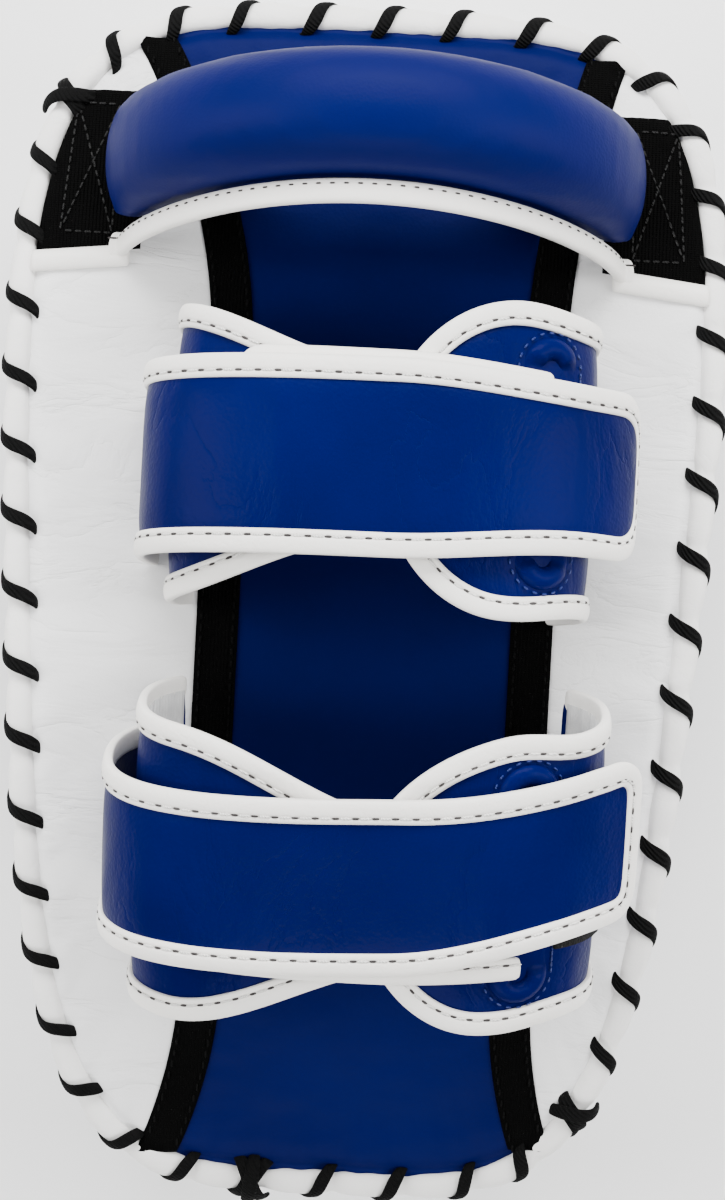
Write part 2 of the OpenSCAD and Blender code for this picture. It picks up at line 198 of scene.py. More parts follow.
class Build:
    """Collects many small closed solids into one mesh."""

    def __init__(self):
        self.verts, self.faces = [], []

    def sweep(self, rings, closed=False):
        n, start = len(rings[0]), len(self.verts)
        for r in rings:
            self.verts += r
        self.faces += grid_faces(len(rings), n, True, start)
        last = start + (len(rings) - 1) * n
        if closed:
            self.faces += [(last + j, last + (j + 1) % n, start + (j + 1) % n, start + j) for j in range(n)]
        else:
            self.faces.append(tuple(range(start, start + n)))
            self.faces.append(tuple(range(last + n - 1, last - 1, -1)))

    def make(self, name, mats, body, slot):
        return piece(name, self.verts, self.faces, mats, body)


def around(n):
    """Angles of n even steps round a circle."""
    return [math.tau * k / n for k in range(n)]


def soft(v, power):
    """Power of a sine or cosine that keeps its sign, which squares off or pinches a circle."""
    return math.copysign(abs(v) ** power, v)


def stitch(build, at, profile):
    """One closed thread bead: at(u, c, s) places a point u along it and c, s across it."""
    build.sweep([[at(u, r * math.cos(w), r * math.sin(w)) for w in around(6)] for u, r in profile])


SHORT_BEAD = ((-0.8, 0.3), (-0.5, 1), (0.5, 1), (0.8, 0.3))


def smooth(obj, levels=1):
    mod = obj.modifiers.new("Smooth", "SUBSURF")
    mod.levels = levels
    mod.render_levels = levels


def inflate(obj, voxel, pressure, cap, frames=20):
    """Swells a closed mesh as cloth under pressure, with no point moving further than cap."""
    bpy.context.view_layer.objects.active = obj
    mod = obj.modifiers.new("Remesh", "REMESH")
    mod.mode = "VOXEL"
    mod.voxel_size = voxel
    deps = bpy.context.evaluated_depsgraph_get()
    done = bpy.data.meshes.new_from_object(obj.evaluated_get(deps))
    obj.modifiers.clear()
    obj.data = done
    before = [v.co.copy() for v in done.vertices]
    cloth = obj.modifiers.new("Cloth", "CLOTH")
    cloth.settings.use_pressure = True
    cloth.settings.uniform_pressure_force = pressure
    cloth.settings.effector_weights.gravity = 0
    cloth.settings.quality = 4
    scene = bpy.context.scene
    for f in range(1, frames + 1):
        scene.frame_set(f)
    deps = bpy.context.evaluated_depsgraph_get()
    swollen = bpy.data.meshes.new_from_object(obj.evaluated_get(deps))
    obj.modifiers.clear()
    for v, old in zip(swollen.vertices, before):
        move = v.co - old
        if move.length > cap:
            v.co = old + move.normalized() * cap
    obj.data = swollen
    scene.frame_set(1)


def dress(obj, mats):
    """Gives a swollen mesh its materials again, and smooth shading."""
    obj.data.materials.clear()
    for m in mats:
        obj.data.materials.append(m)
    obj.data.polygons.foreach_set("use_smooth", [True] * len(obj.data.polygons))


# ---------------------------------------------------------------- materials
def material(name, colour, rough, **k):
    """Leather, cloth and thread: colour variation, wear, grain and creases from noise.
    k: vary, grain, grain_size, crease, crease_size, stretch, sheen, wave, speck, spec."""
    m = bpy.data.materials.new(name)
    m.use_nodes = True
    nt = m.node_tree
    new, link = nt.nodes.new, nt.links.new
    bsdf = nt.nodes["Principled BSDF"]
    where = new("ShaderNodeTexCoord")
    stretch = new("ShaderNodeMapping")
    stretch.inputs["Scale"].default_value = k.get("stretch", (1, 1, 1))
    link(where.outputs["Object"], stretch.inputs["Vector"])

    patch = new("ShaderNodeTexNoise")
    patch.inputs["Scale"].default_value = 14
    patch.inputs["Detail"].default_value = 5
    link(where.outputs["Object"], patch.inputs["Vector"])
    tone = new("ShaderNodeValToRGB")
    vary = k.get("vary", 0.12)
    tone.color_ramp.elements[0].position = 0.3
    tone.color_ramp.elements[1].position = 0.72
    tone.color_ramp.elements[0].color = [c * (1 - vary) for c in colour] + [1]
    tone.color_ramp.elements[1].color = [min(1, c * (1 + vary)) for c in colour] + [1]
    link(patch.outputs["Fac"], tone.inputs["Fac"])
    colour_out = tone.outputs["Color"]
    if k.get("speck"):
        speck = new("ShaderNodeTexNoise")
        speck.inputs["Scale"].default_value = 900
        speck.inputs["Detail"].default_value = 2
        link(where.outputs["Object"], speck.inputs["Vector"])
        cut = new("ShaderNodeValToRGB")
        cut.color_ramp.elements[0].position = 0.68
        cut.color_ramp.elements[1].position = 0.74
        link(speck.outputs["Fac"], cut.inputs["Fac"])
        mix = new("ShaderNodeMix")
        mix.data_type = "RGBA"
        mix.inputs["B"].default_value = list(k["speck"]) + [1]
        link(cut.outputs["Color"], mix.inputs["Factor"])
        link(colour_out, mix.inputs["A"])
        colour_out = mix.outputs["Result"]
    link(colour_out, bsdf.inputs["Base Color"])

    shine = new("ShaderNodeMapRange")
    shine.inputs["To Min"].default_value = rough - 0.07
    shine.inputs["To Max"].default_value = rough + 0.09
    link(patch.outputs["Fac"], shine.inputs["Value"])
    link(shine.outputs["Result"], bsdf.inputs["Roughness"])

    normal = None

    def bump(height, strength, distance):
        nonlocal normal
        b = new("ShaderNodeBump")
        b.inputs["Strength"].default_value = strength
        b.inputs["Distance"].default_value = distance
        link(height, b.inputs["Height"])
        if normal:
            link(normal, b.inputs["Normal"])
        normal = b.outputs["Normal"]

    if k.get("crease"):
        crease = new("ShaderNodeTexNoise")
        crease.inputs["Scale"].default_value = k.get("crease_size", 55)
        crease.inputs["Detail"].default_value = 6
        crease.inputs["Roughness"].default_value = 0.55
        crease.inputs["Distortion"].default_value = 0.5
        link(stretch.outputs["Vector"], crease.inputs["Vector"])
        off = new("ShaderNodeMath")
        off.operation = "SUBTRACT"
        off.inputs[1].default_value = 0.5
        link(crease.outputs["Fac"], off.inputs[0])
        ridge = new("ShaderNodeMath")
        ridge.operation = "ABSOLUTE"
        link(off.outputs["Value"], ridge.inputs[0])
        fold = new("ShaderNodeMath")
        fold.operation = "POWER"
        fold.inputs[1].default_value = 0.5
        link(ridge.outputs["Value"], fold.inputs[0])
        bump(fold.outputs["Value"], k["crease"], 0.001)
    for axis, width, depth in k.get("wave", ()):
        rib = new("ShaderNodeTexWave")
        rib.bands_direction = axis
        rib.inputs["Scale"].default_value = math.tau / (20 * width * MM)
        rib.inputs["Distortion"].default_value = 0.6
        rib.inputs["Detail"].default_value = 1
        link(where.outputs["Object"], rib.inputs["Vector"])
        bump(rib.outputs["Fac"], depth, 0.0005)
    if k.get("grain"):
        cells = new("ShaderNodeTexVoronoi")
        cells.inputs["Scale"].default_value = k.get("grain_size", 850)
        link(where.outputs["Object"], cells.inputs["Vector"])
        bump(cells.outputs["Distance"], k["grain"], 0.0003)
    if normal:
        link(normal, bsdf.inputs["Normal"])
    bsdf.inputs["Sheen Weight"].default_value = k.get("sheen", 0)
    bsdf.inputs["Specular IOR Level"].default_value = k.get("spec", 0.5)
    return m


WHITE = material("white_leather", (0.8, 0.8, 0.8), 0.5, vary=0.02, crease=0.95, crease_size=38,
                 stretch=(0.6, 1.6, 1), grain=0.12, grain_size=1100, spec=0.4)
RIM_WHITE = material("rim_leather", (0.84, 0.83, 0.81), 0.5, vary=0.04, crease=0.3, crease_size=70,
                     grain=0.12)
BINDING = material("binding_leather", (0.86, 0.84, 0.8), 0.48, vary=0.04, crease=0.22, crease_size=90,
                   grain=0.15)
BLUE_PANEL = material("blue_panel_leather", (0.0, 0.002, 0.052), 0.5, vary=0.12, crease=0.07,
                      crease_size=30, grain=0.16, grain_size=950, spec=0.04)
BLUE_GUARD = material("blue_guard_leather", (0.0, 0.002, 0.062), 0.5, vary=0.1, crease=0.06,
                      crease_size=26, grain=0.12, grain_size=1000, spec=0.06)
BLUE_STRAP = material("blue_strap_leather", (0.0, 0.0018, 0.056), 0.36, vary=0.22, crease=0.75,
                      crease_size=17, stretch=(1.6, 0.7, 1), grain=0.2, grain_size=800, spec=0.03)
LINING = material("lining_cloth", (0.5, 0.5, 0.5), 0.75, vary=0.1, crease=0.5, crease_size=120,
                  wave=[("X", 0.8, 0.3)], sheen=0.2)
WEB = material("webbing_black", (0.0015, 0.0015, 0.0015), 0.8, vary=0.3,
               wave=[("X", 1.1, 0.8), ("Y", 0.7, 0.4)], grain=0.3, grain_size=1500, spec=0.03)
LACE = material("lace_black", (0.003, 0.003, 0.003), 0.75, vary=0.3, wave=[("DIAGONAL", 0.9, 0.8)],
                grain=0.5, grain_size=1800, spec=0.06)
HOOK = material("hook_and_loop", (0.006, 0.006, 0.006), 0.9, vary=0.4, grain=1, grain_size=1300,
                speck=(0.3, 0.3, 0.3), spec=0.15)
THREAD = material("thread_white", (0.78, 0.77, 0.74), 0.6, vary=0.1, wave=[("DIAGONAL", 0.5, 0.6)])
THREAD_BLUE = material("thread_blue", (0.0, 0.012, 0.12), 0.5, vary=0.15, wave=[("DIAGONAL", 0.5, 0.6)])
# Dark grey beads for the needle holes beside each stitch: painted shade of the holes, not a colour of the
# leather or thread.
HOLE_SHADE = material("needle_hole_shade", (0.05, 0.045, 0.045), 0.8, vary=0.3, grain=0.4, spec=0.1)
DARK_THREAD = material("thread_black", (0.007, 0.007, 0.007), 0.6, vary=0.2,
                       wave=[("DIAGONAL", 0.5, 0.6)], spec=0.2)
GRIP = material("grip_leather", (0.008, 0.008, 0.008), 0.45, vary=0.2, crease=0.3, crease_size=70,
                grain=0.3, spec=0.3)


# ---------------------------------------------------------------- pad body: side wall and strike face
# (distance in from the outline, depth under the back), from the rim down to the strike face
WALL = [(9, 0.5), (6, 3), (4, 8), (1.8, 20), (0.8, 34), (0.5, 50), (1.0, 68), (2.4, 79), (4.8, 85.5),
        (8.5, 89), (14, 90)]


def scaled(ring, share, depth):
    """A smaller copy of a ring, at another depth under the back."""
    return [below_back(q.x / MM * share, q.y / MM * share, depth) for q in ring]


def pad_body():
    """The foam block in its cover, swollen as a cloth bag; its underside shows the strike cover."""
    n = 192
    rings = []
    for inset, depth in WALL:
        ring = []
        for i in range(n):
            t = angle_of(OUTLINE_L * i / n)
            p = outline_at(t) - inset * outline_n(t)
            ring.append(below_back(p.x, p.y, depth))
        rings.append(ring)
    top = [scaled(rings[0], share, 3) for share in (0.1, 0.3, 0.5, 0.7, 0.9)]
    strike = [scaled(rings[-1], share, PAD_T + 0.5) for share in (0.86, 0.7, 0.52, 0.34, 0.18, 0.05)]
    b = Build()
    b.sweep(top + rings + strike)
    body = b.make("pad_body", [WHITE, BLUE_PANEL], "shield", "white_leather")
    inflate(body, 0.005, 4, 0.004)
    for v in body.data.vertices:
        # the back panels lie over the swollen body, and the ground under it
        out = Vector((v.co.y, v.co.z - AXIS_Z * MM))
        if out.length > (BACK_R - UNDER_PANELS) * MM:
            out *= (BACK_R - UNDER_PANELS) * MM / out.length
            v.co.y, v.co.z = out.x, out.y + AXIS_Z * MM
        v.co.z = max(v.co.z, 0.0004)
    face = []
    for f in body.data.polygons:
        c = f.center / MM
        depth = BACK_R - math.hypot(c.y, c.z - AXIS_Z)
        face.append(1 if depth > 86.5 and edge_distance(c.x, c.y)[0] > 6 else 0)
    dress(body, [WHITE, BLUE_PANEL])
    body.data.polygons.foreach_set("material_index", face)
    smooth(body)
    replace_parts(body, "side_wall", "strike_cover", "strike_foam", "core_foam", "back_foam")


def strike_piping():
    """Welt along the seam between the side wall and the strike face."""
    b = Build()
    n = 240
    rings = []
    for i in range(n):
        t = angle_of(OUTLINE_L * i / n)
        p = outline_at(t) - WELT_IN * outline_n(t)
        c = below_back(p.x, p.y, WELT_DEPTH)
        out = outline_n(t).to_3d() * WELT_R * MM
        up = Vector((0, 0, WELT_R * MM))
        rings.append([c + out * math.cos(a) + up * math.sin(a) for a in around(10)])
    b.sweep(rings, True)
    b.make("strike_welt", [RIM_WHITE], "shield", "white_leather")


# ---------------------------------------------------------------- back panels, tapes, rim
def back_height(x, y):
    """Soft relief of the panels: they dip into the seam by the rim and pucker at each lace hole."""
    d, s = edge_distance(x, y)
    phase = s / PITCH * math.tau
    puff = 0.5 - 0.5 * math.cos(phase)
    h = 0.6 + 0.9 * math.exp(-((d - 13) / 9) ** 2) * (0.35 + 0.65 * puff)
    h -= 1.6 * math.exp(-((d - 7.5) / 2.2) ** 2)
    rays = math.sin(2.5 * phase + 2 * noise.noise(Vector((x, y, 0)) * 0.03))
    h += 0.22 * rays * math.exp(-max(0, d - 8) / 14)
    h += 0.45 * noise.noise(Vector((x * 0.035, y * 0.09, 1.7)))
    h += 0.2 * noise.noise(Vector((x * 0.09, y * 0.22, 5.1)))
    seam = abs(abs(x - CENTRE_X) - (tape_edge(y, 1 if x > CENTRE_X else -1) - TAPE_W / 2))
    return h - 0.9 * math.exp(-(seam / 5) ** 2)


def outline_x(y, inset):
    """Half-width of the outline at y, moved in by inset."""
    lim = PAD_L / 2 - inset
    if abs(y) >= lim:
        return 0
    return (half_w(y) - inset) * (1 - (abs(y) / lim) ** CORNER_N) ** (1 / CORNER_N)


def panel(name, left, right, mat, node, cols):
    """Leather panel between two plan edges, each a function of y."""
    n = 170
    ys = [(PAD_L / 2 - 6.6) * math.sin(math.pi * (i / (n - 1) - 0.5)) for i in range(n)]
    rows = []
    for y in ys:
        a, b = left(y), right(y)
        if b - a > 1.5:
            rows.append([(a + (b - a) * j / (cols - 1), y) for j in range(cols)])
    verts = [on_back(x, y, back_height(x, y)) for row in rows for x, y in row]
    obj = piece(name, verts, grid_faces(len(rows), cols), [mat], "shield")
    solid = obj.modifiers.new("Thick", "SOLIDIFY")
    solid.thickness = 2 * MM
    solid.offset = -1
    if sum(f.normal.z for f in obj.data.polygons) < 0:
        obj.data.flip_normals()
    smooth(obj)
    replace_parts(obj, node)


def back_panels():
    seam = lambda y, side: CENTRE_X + side * (tape_edge(y, side) - TAPE_W / 2)
    edge = lambda y: outline_x(y, 6.2)
    panel("back_left", lambda y: -edge(y), lambda y: seam(y, -1), WHITE,
          "back_panel_left", 30)
    panel("back_right", lambda y: seam(y, 1), edge, WHITE, "back_panel_right", 30)
    panel("back_centre", lambda y: max(seam(y, -1), -edge(y)), lambda y: min(seam(y, 1), edge(y)),
          BLUE_PANEL, "centre_panel", 60)


def tape(side, node):
    """Webbing tape over a seam of the back, held by two rows of stitches."""
    b = Build()
    rings = []
    n = 160
    for i in range(n):
        y = -PAD_L / 2 + 7 + (PAD_L - 14) * i / (n - 1)
        outer = tape_edge(y, side)
        ring = []
        for j in range(9):
            x = CENTRE_X + side * (outer - TAPE_W * j / 8)
            edge = 1 - abs(2 * j / 8 - 1) ** 4
            ring.append(on_back(x, y, back_height(x, y) * 0.5 + 0.9 + 0.7 * edge))
        for j in range(8, -1, -1):
            x = CENTRE_X + side * (outer - TAPE_W * j / 8)
            ring.append(on_back(x, y, -1.2))
        if outer + side * CENTRE_X < outline_x(y, 4) + TAPE_W * 0.4:
            rings.append(ring)
    b.sweep(rings)
    obj = b.make("tape_" + node, [WEB], "shield", "webbing")
    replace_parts(obj, node)
    st = Build()
    for inset in (1.6, TAPE_W - 1.6):
        y = -PAD_L / 2 + 12
        while y < PAD_L / 2 - 12:
            x = CENTRE_X + side * (tape_edge(y, side) - inset)
            if abs(x) < outline_x(y, 8):
                c = on_back(x, y, back_height(x, y) * 0.5 + 1.75)
                stitch(st, lambda u, across, up: c + Vector((0.35 * across, u, 0.25 * up)) * MM,
                       ((-1.2, 0.3), (-0.8, 1), (0.8, 1), (1.2, 0.3)))
            y += 3.6
    st.make("tape_stitches_" + node, [LACE], "shield", "webbing")


def rim():
    """Rolled leather edge, pinched by the lace at every turn."""
    b = Build()
    n = LACE_TURNS * 14
    rings = []
    for i in range(n):
        s = OUTLINE_L * i / n
        pinch = abs(math.sin(math.pi * (s / PITCH))) ** 0.7
        wob = noise.noise(Vector((s * 0.05, 3.3, 0))) + 0.6 * noise.noise(Vector((s * 0.21, 9.3, 0)))
        wide = 3.3 + 1.0 * pinch + 0.35 * wob
        high = 2.7 + 1.1 * pinch + 0.2 * wob
        rings.append([rim_point(s, 3.9 - 0.4 * pinch - wide * soft(math.cos(a), 0.8),
                                -1.6 + high * soft(math.sin(a), 0.8)) for a in around(18)])
    b.sweep(rings, True)
    obj = b.make("rolled_rim", [RIM_WHITE], "shield", "white_leather")
    smooth(obj)
    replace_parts(obj, "edge_rim")


def lace_middle(s):
    """Point inside the rim that the lace goes round."""
    return rim_point(s, 4.3, -1.4)


def lace_point(s, a, lift=0):
    """Middle of the flat lace at angle a around the rim, from the hole at its inner side."""
    inset = 4.3 - (5.2 + lift) * soft(-math.cos(a), 0.85)
    return rim_point(s, inset, -1.4 + (4.6 + lift) * soft(math.sin(a), 0.85))


def flat_tube(points, ups, half_w_of, thick):
    """Rings of a flat band through points, each with its own outward direction."""
    rings = []
    n = len(points)
    for i, p in enumerate(points):
        along = (points[min(i + 1, n - 1)] - points[max(i - 1, 0)]).normalized()
        out = (ups[i] - along * ups[i].dot(along)).normalized()
        side = along.cross(out)
        side *= half_w_of(i) * MM
        out *= thick * MM
        rings.append([p + side * soft(math.cos(a), 0.6) + out * math.sin(a) for a in around(10)])
    return rings


def lacing():
    """The lace: a helix round the rim, with a tied crossing at the foot and doubled turns at two corners."""
    b = Build()
    per = 22
    points, ups, wides = [], [], []
    for k in range(LACE_TURNS * per):
        turn, p = divmod(k, per)
        p /= per
        jig = noise.noise(Vector((turn * 1.7, 0.4, 0)))
        # the first 0.42 of a turn's points move it 0.3 of the pitch along the rim, and the rest the other 0.7
        adv = 0.3 * p / 0.42 if p < 0.42 else 0.3 + 0.7 * (p - 0.42) / 0.58
        s = -(turn + adv + 0.1 * jig) * PITCH
        a = math.tau * p
        pt = lace_point(s, a)
        points.append(pt)
        ups.append((pt - lace_middle(s)).normalized())
        show = max(0, math.sin(a)) ** 0.6
        wides.append(1.3 + (0.95 + 0.3 * jig) * show)
    b.sweep(flat_tube(points, ups, lambda i: wides[i], 0.75))
    for s_at, slants in ((run_of(math.radians(-98)), (0.3, -0.25, 0.05)),
                         (run_of(math.radians(121)), (0.22, -0.3)),
                         (run_of(math.radians(-60)), (0.2, -0.22))):
        for j, slant in enumerate(slants):
            pts, outs = [], []
            for k in range(12):
                p = k / 11
                a = math.pi * (p * 1.1 - 0.05)
                pt = lace_point(s_at - slant * PITCH * (p - 0.5) * 2, a, 0.5 + 0.9 * j)
                pts.append(pt)
                outs.append((pt - lace_middle(s_at)).normalized())
            b.sweep(flat_tube(pts, outs, lambda i: 1.5 + 1.0 * math.sin(math.pi * i / 11), 0.8))
    obj = b.make("edge_lace", [LACE], "shield", "lace")
    smooth(obj)
    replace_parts(obj, "lacing")


# ---------------------------------------------------------------- forearm straps
class Strap:
    """One forearm strap: its place on the pad and the closed curve that its layers follow."""

    def __init__(self, name, **sizes):
        self.name = name
        self.__dict__.update(sizes)
        self.tilt = math.asin(self.y / BACK_R) - math.radians(self.lean)
        self.foot = AXIS_Z + math.sqrt(BACK_R ** 2 - self.y ** 2)

    def place(self, x, y, z):
        c, s = math.cos(self.tilt), math.sin(self.tilt)
        return Vector((x, self.y + y * c + z * s, self.foot - y * s + z * c)) * MM

    def curve(self, o, t, reach=0):
        c, s = math.cos(t), math.sin(t)
        low = self.low[0] if c < 0 else self.low[1]
        pc = math.copysign(abs(c) ** (2 / SQUARE), c)
        ps = math.copysign(abs(s) ** (2 / SQUARE), s)
        out = self.a + o + reach * (1 - ease(math.degrees(t) / END_FROM))
        return Vector((self.cx + out * pc, WAIST + ((TUNNEL_H - WAIST if s > 0 else low) + o) * ps))

    def flap_edge(self, x, side):
        mid = self.slide + self.slant * x + self.rise * ease((x - 20) / 60)
        return mid + side * (self.flap - self.thin * ease((x - 10) / 60))

    def tongue_edge(self, x, side):
        return self.shift + side * (self.tongue - self.thin * ease((x - 10) / 60))

    def slot_t(self):
        return math.acos(((SLOT_X - self.cx) / (self.a + 5)) ** (SQUARE / 2))


class Band:
    """A layer of a strap, unrolled: l runs along it, y across it, h out of it."""

    def __init__(self, strap, o, t1, t2, reach=0):
        self.strap = strap
        n = 400
        self.pts = [strap.curve(o, t1 + (t2 - t1) * i / n, reach) for i in range(n + 1)]
        self.run = [0]
        for p, q in zip(self.pts, self.pts[1:]):
            self.run.append(self.run[-1] + (q - p).length)
        self.length = self.run[-1]
        self.turn = 1 if t2 > t1 else -1

    def span(self, l):
        lo, hi = 0, len(self.run) - 1
        while hi - lo > 1:
            mid = (lo + hi) // 2
            if self.run[mid] <= l:
                lo = mid
            else:
                hi = mid
        return lo, hi, (l - self.run[lo]) / (self.run[hi] - self.run[lo])

    def x(self, l):
        lo, hi, k = self.span(min(max(l, 0), self.length))
        return self.pts[lo].lerp(self.pts[hi], k).x

    def at(self, l, y, h):
        lo, hi, k = self.span(min(max(l, 0), self.length))
        p, q = self.pts[lo], self.pts[hi]
        a, z = self.pts[max(lo - 6, 0)], self.pts[min(hi + 6, len(self.pts) - 1)]
        d = (z - a).normalized()
        n = Vector((d.y, -d.x)) * self.turn
        w = p.lerp(q, k) + n * h
        return self.strap.place(w.x, y, w.y)


def leather_relief(l, y, seed, depth):
    """Soft creases across a strap, stronger along its length."""
    a = noise.noise(Vector((l * 0.05, y * 0.02, seed)))
    c = noise.noise(Vector((l * 0.13, y * 0.035, seed + 4)))
    return depth * (0.8 * a + 0.5 * c)


def sheet_of(name, band, spans, body, nodes, seed, depth=0.8, thick=BAND_T):
    """Padded leather of a strap: spans is a list of (l, low y, high y)."""
    cols = 22
    rings = []
    for l, y0, y1 in spans:
        ring = []
        for j in range(cols):
            v = j / (cols - 1)
            y = y0 + (y1 - y0) * v
            crown = 1 - abs(2 * v - 1) ** 6
            height = thick * (0.45 + 0.55 * crown) + crown * leather_relief(l, y, seed, depth)
            ring.append(band.at(l, y, height))
        for j in range(cols - 1, -1, -1):
            y = y0 + (y1 - y0) * j / (cols - 1)
            ring.append(band.at(l, y, 0.2))
        rings.append(ring)
    b = Build()
    b.sweep(rings)
    obj = b.make(name, [BLUE_STRAP], body, "blue_strap_leather")
    smooth(obj)
    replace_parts(obj, *nodes)
    return obj


def binding_height(i, thick):
    """Rounded leather binding at distance i in from the edge, with a sewn groove on its inner side."""
    c = BIND_W / 2
    round_off = max(0, 1 - abs((i - c) / (c + 0.6)) ** 2.6) ** 0.45
    return thick * round_off - 0.75 * math.exp(-((i - GROOVE) / 0.5) ** 2)


# distances in from the edge of a binding's section, over its outer side and back along its inner side
BINDING_OUT = (-0.35, 0.0, 0.5, 1.3, 2.4, 3.5, 4.25, 4.65, 4.9, 5.15, 5.5, 6.1, 6.7, 7.0)
BINDING_BACK = (7.0, 5, 3, 1, 0.0, -0.35)
BINDING_T = BAND_T + 1.25


def thread_profile(half):
    """Outline of a thread that thins towards both ends."""
    return (-half, 0.25), (-half * 0.7, 0.85), (0, 1), (half * 0.7, 0.85), (half, 0.25)


def binding(name, band, line, body, node=None, seed=0):
    """Folded binding along an edge line of (l, y) points, inward on its left, with its stitching and dark
    beads of painted shade where the needle holes are.
    """
    n = len(line)

    def frame_at(k):
        a, z = line[max(k - 1, 0)], line[min(k + 1, n - 1)]
        d = Vector((z[0] - a[0], z[1] - a[1])).normalized()
        return d, Vector((-d.y, d.x))

    rings = []
    for k, (l, y) in enumerate(line):
        inward = frame_at(k)[1]
        wob = 0.18 * noise.noise(Vector((l * 0.12, y * 0.12, seed)))
        ring = []
        for i in BINDING_OUT:
            h = binding_height(max(i, -0.3), BINDING_T + wob)
            ring.append(band.at(l + inward.x * i, y + inward.y * i, BAND_T / 2 - 0.2 + h * 0.62))
        for i in BINDING_BACK:
            h = -1.15 * max(0, 1 - abs((i - 3.4) / 4.2) ** 3) ** 0.5
            ring.append(band.at(l + inward.x * i, y + inward.y * i, BAND_T / 2 - 0.35 + h))
        rings.append(ring)
    b = Build()
    b.sweep(rings)
    obj = b.make(name, [BINDING], body, "white_binding")
    smooth(obj)
    if node:
        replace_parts(obj, node)

    # the dark beads between the threads are painted shade: they stand for the shadow in the needle holes
    threads, hole_shade = Build(), Build()
    level = BAND_T / 2 - 0.2 + binding_height(GROOVE, BINDING_T) * 0.62
    run, due = 0.0, 2.0
    for k in range(1, n):
        step = math.hypot(line[k][0] - line[k - 1][0], line[k][1] - line[k - 1][1])
        d, inward = frame_at(k)
        while due < run + step:
            f = (due - run) / step
            l = line[k - 1][0] + (line[k][0] - line[k - 1][0]) * f
            y = line[k - 1][1] + (line[k][1] - line[k - 1][1]) * f

            def in_groove(u, across, h):
                e = GROOVE + 0.42 * across
                return band.at(l + d.x * u + inward.x * e, y + d.y * u + inward.y * e, h)

            stitch(threads, lambda u, c, q: in_groove(u, c, level + 0.22 + 0.32 * q), thread_profile(1.75))
            stitch(hole_shade, lambda u, c, q: in_groove(u + STITCH_PITCH / 2, c, level + 0.16 + 0.32 * q),
                   thread_profile(1.05))
            due += STITCH_PITCH
        run += step
    return (obj, threads.make(name + "_thread", [THREAD], body, "white_binding"),
            hole_shade.make(name + "_needle_hole_shade", [HOLE_SHADE], body, "white_binding"))


def line_between(points, step=3.0):
    """Resamples an edge line evenly."""
    run = [0]
    for p, q in zip(points, points[1:]):
        run.append(run[-1] + math.hypot(q[0] - p[0], q[1] - p[1]))
    n = max(2, round(run[-1] / step))
    out, k = [], 0
    for i in range(n + 1):
        s = run[-1] * i / n
        while k < len(run) - 2 and run[k + 1] < s:
            k += 1
        f = (s - run[k]) / (run[k + 1] - run[k])
        out.append((points[k][0] + (points[k + 1][0] - points[k][0]) * f,
                    points[k][1] + (points[k + 1][1] - points[k][1]) * f))
    return out


def rounded_end(length, edge, r):
    """Edge line of a strap end: along its lower side, round its corners and back."""
    steps = [math.pi / 2 * i / 8 for i in range(9)]
    low = [(length - r + r * math.sin(a), edge(length, -1) + r - r * math.cos(a)) for a in steps]
    high = [(l, edge(length, -1) + edge(length, 1) - y) for l, y in low[::-1]]
    n = 40
    first = [((length - r) * i / n, edge((length - r) * i / n, -1)) for i in range(n)]
    last = [((length - r) * i / n, edge((length - r) * i / n, 1)) for i in range(n - 1, -1, -1)]
    return line_between(first + low + high + last)


def patch(name, band, along, across, height, body, node):
    """Hook-and-loop patch with a ragged pile; along, across and height are (from, to)."""
    n = 24
    (l0, l1), (y0, y1), (h0, h1) = along, across, height
    rings = []
    for i in range(n):
        l = l0 + (l1 - l0) * i / (n - 1)
        ring = []
        for j in range(n):
            y = y0 + (y1 - y0) * j / (n - 1)
            ring.append(band.at(l, y, h1 + 0.15 * noise.noise(Vector((l * 1.3, y * 1.3, 2.2)))))
        rings.append(ring + [band.at(l, y1, h0), band.at(l, y0, h0)])
    b = Build()
    b.sweep(rings)
    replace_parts(b.make(name, [HOOK], body, "hook_and_loop"), node)


def lining(name, band, l0, l1, edge, seed):
    """Pleated lining inside a cuff, out to edge(l, side) across."""
    rows, cols = 90, 16
    rings = []
    for i in range(rows):
        l = l0 + (l1 - l0) * i / (rows - 1)
        pleat = 0.35 * math.sin(l * 1.15 + 2.2 * noise.noise(Vector((l * 0.05, seed, 0))))
        y0, y1 = edge(l, -1), edge(l, 1)
        ring = []
        for j in range(cols):
            v = j / (cols - 1)
            ring.append(band.at(l, y0 + (y1 - y0) * v, -0.6 + pleat * (0.5 + 0.5 * abs(2 * v - 1))))
        rings.append(ring + [band.at(l, y1 + (y0 - y1) * j / (cols - 1), 0.1) for j in range(cols)])
    b = Build()
    b.sweep(rings)
    b.make(name, [LINING], "shield", "white_binding")


def cuff(s):
    """Left cuff: wide at its foot, narrowing to the pull strap."""
    name = s.name
    band = Band(s, 0, math.radians(218), math.radians(84))
    neck_half = s.tongue - 2
    half = lambda l: neck_half + (CUFF_HALF - neck_half) * (1 - ease((band.x(l) - s.neck) / 70))
    ls = [band.length * i / 60 for i in range(61)]
    sheet_of(name + "_cuff_leather", band, [(l, -half(l) + 4, half(l) - 4) for l in ls], "shield",
             [name + "_cuff"], 3.1)
    upper = line_between([(l, half(l)) for l in ls][::-1])
    lower = line_between([(l, -half(l)) for l in ls])
    binding(name + "_cuff_edge_a", band, upper, "shield", name + "_cuff_binding", seed=1)
    binding(name + "_cuff_edge_b", band, lower, "shield", seed=2)
    lining(name + "_cuff_lining", band, 2, band.length - 12, lambda l, side: side * (half(l) - 4), 1.5)
    under_tongue = Band(s, 0, math.radians(122), math.radians(93))
    patch(name + "_cuff_pile", under_tongue, (0, 34), (-17, 17), (BAND_T, 4), "shield", name + "_cuff_loop")


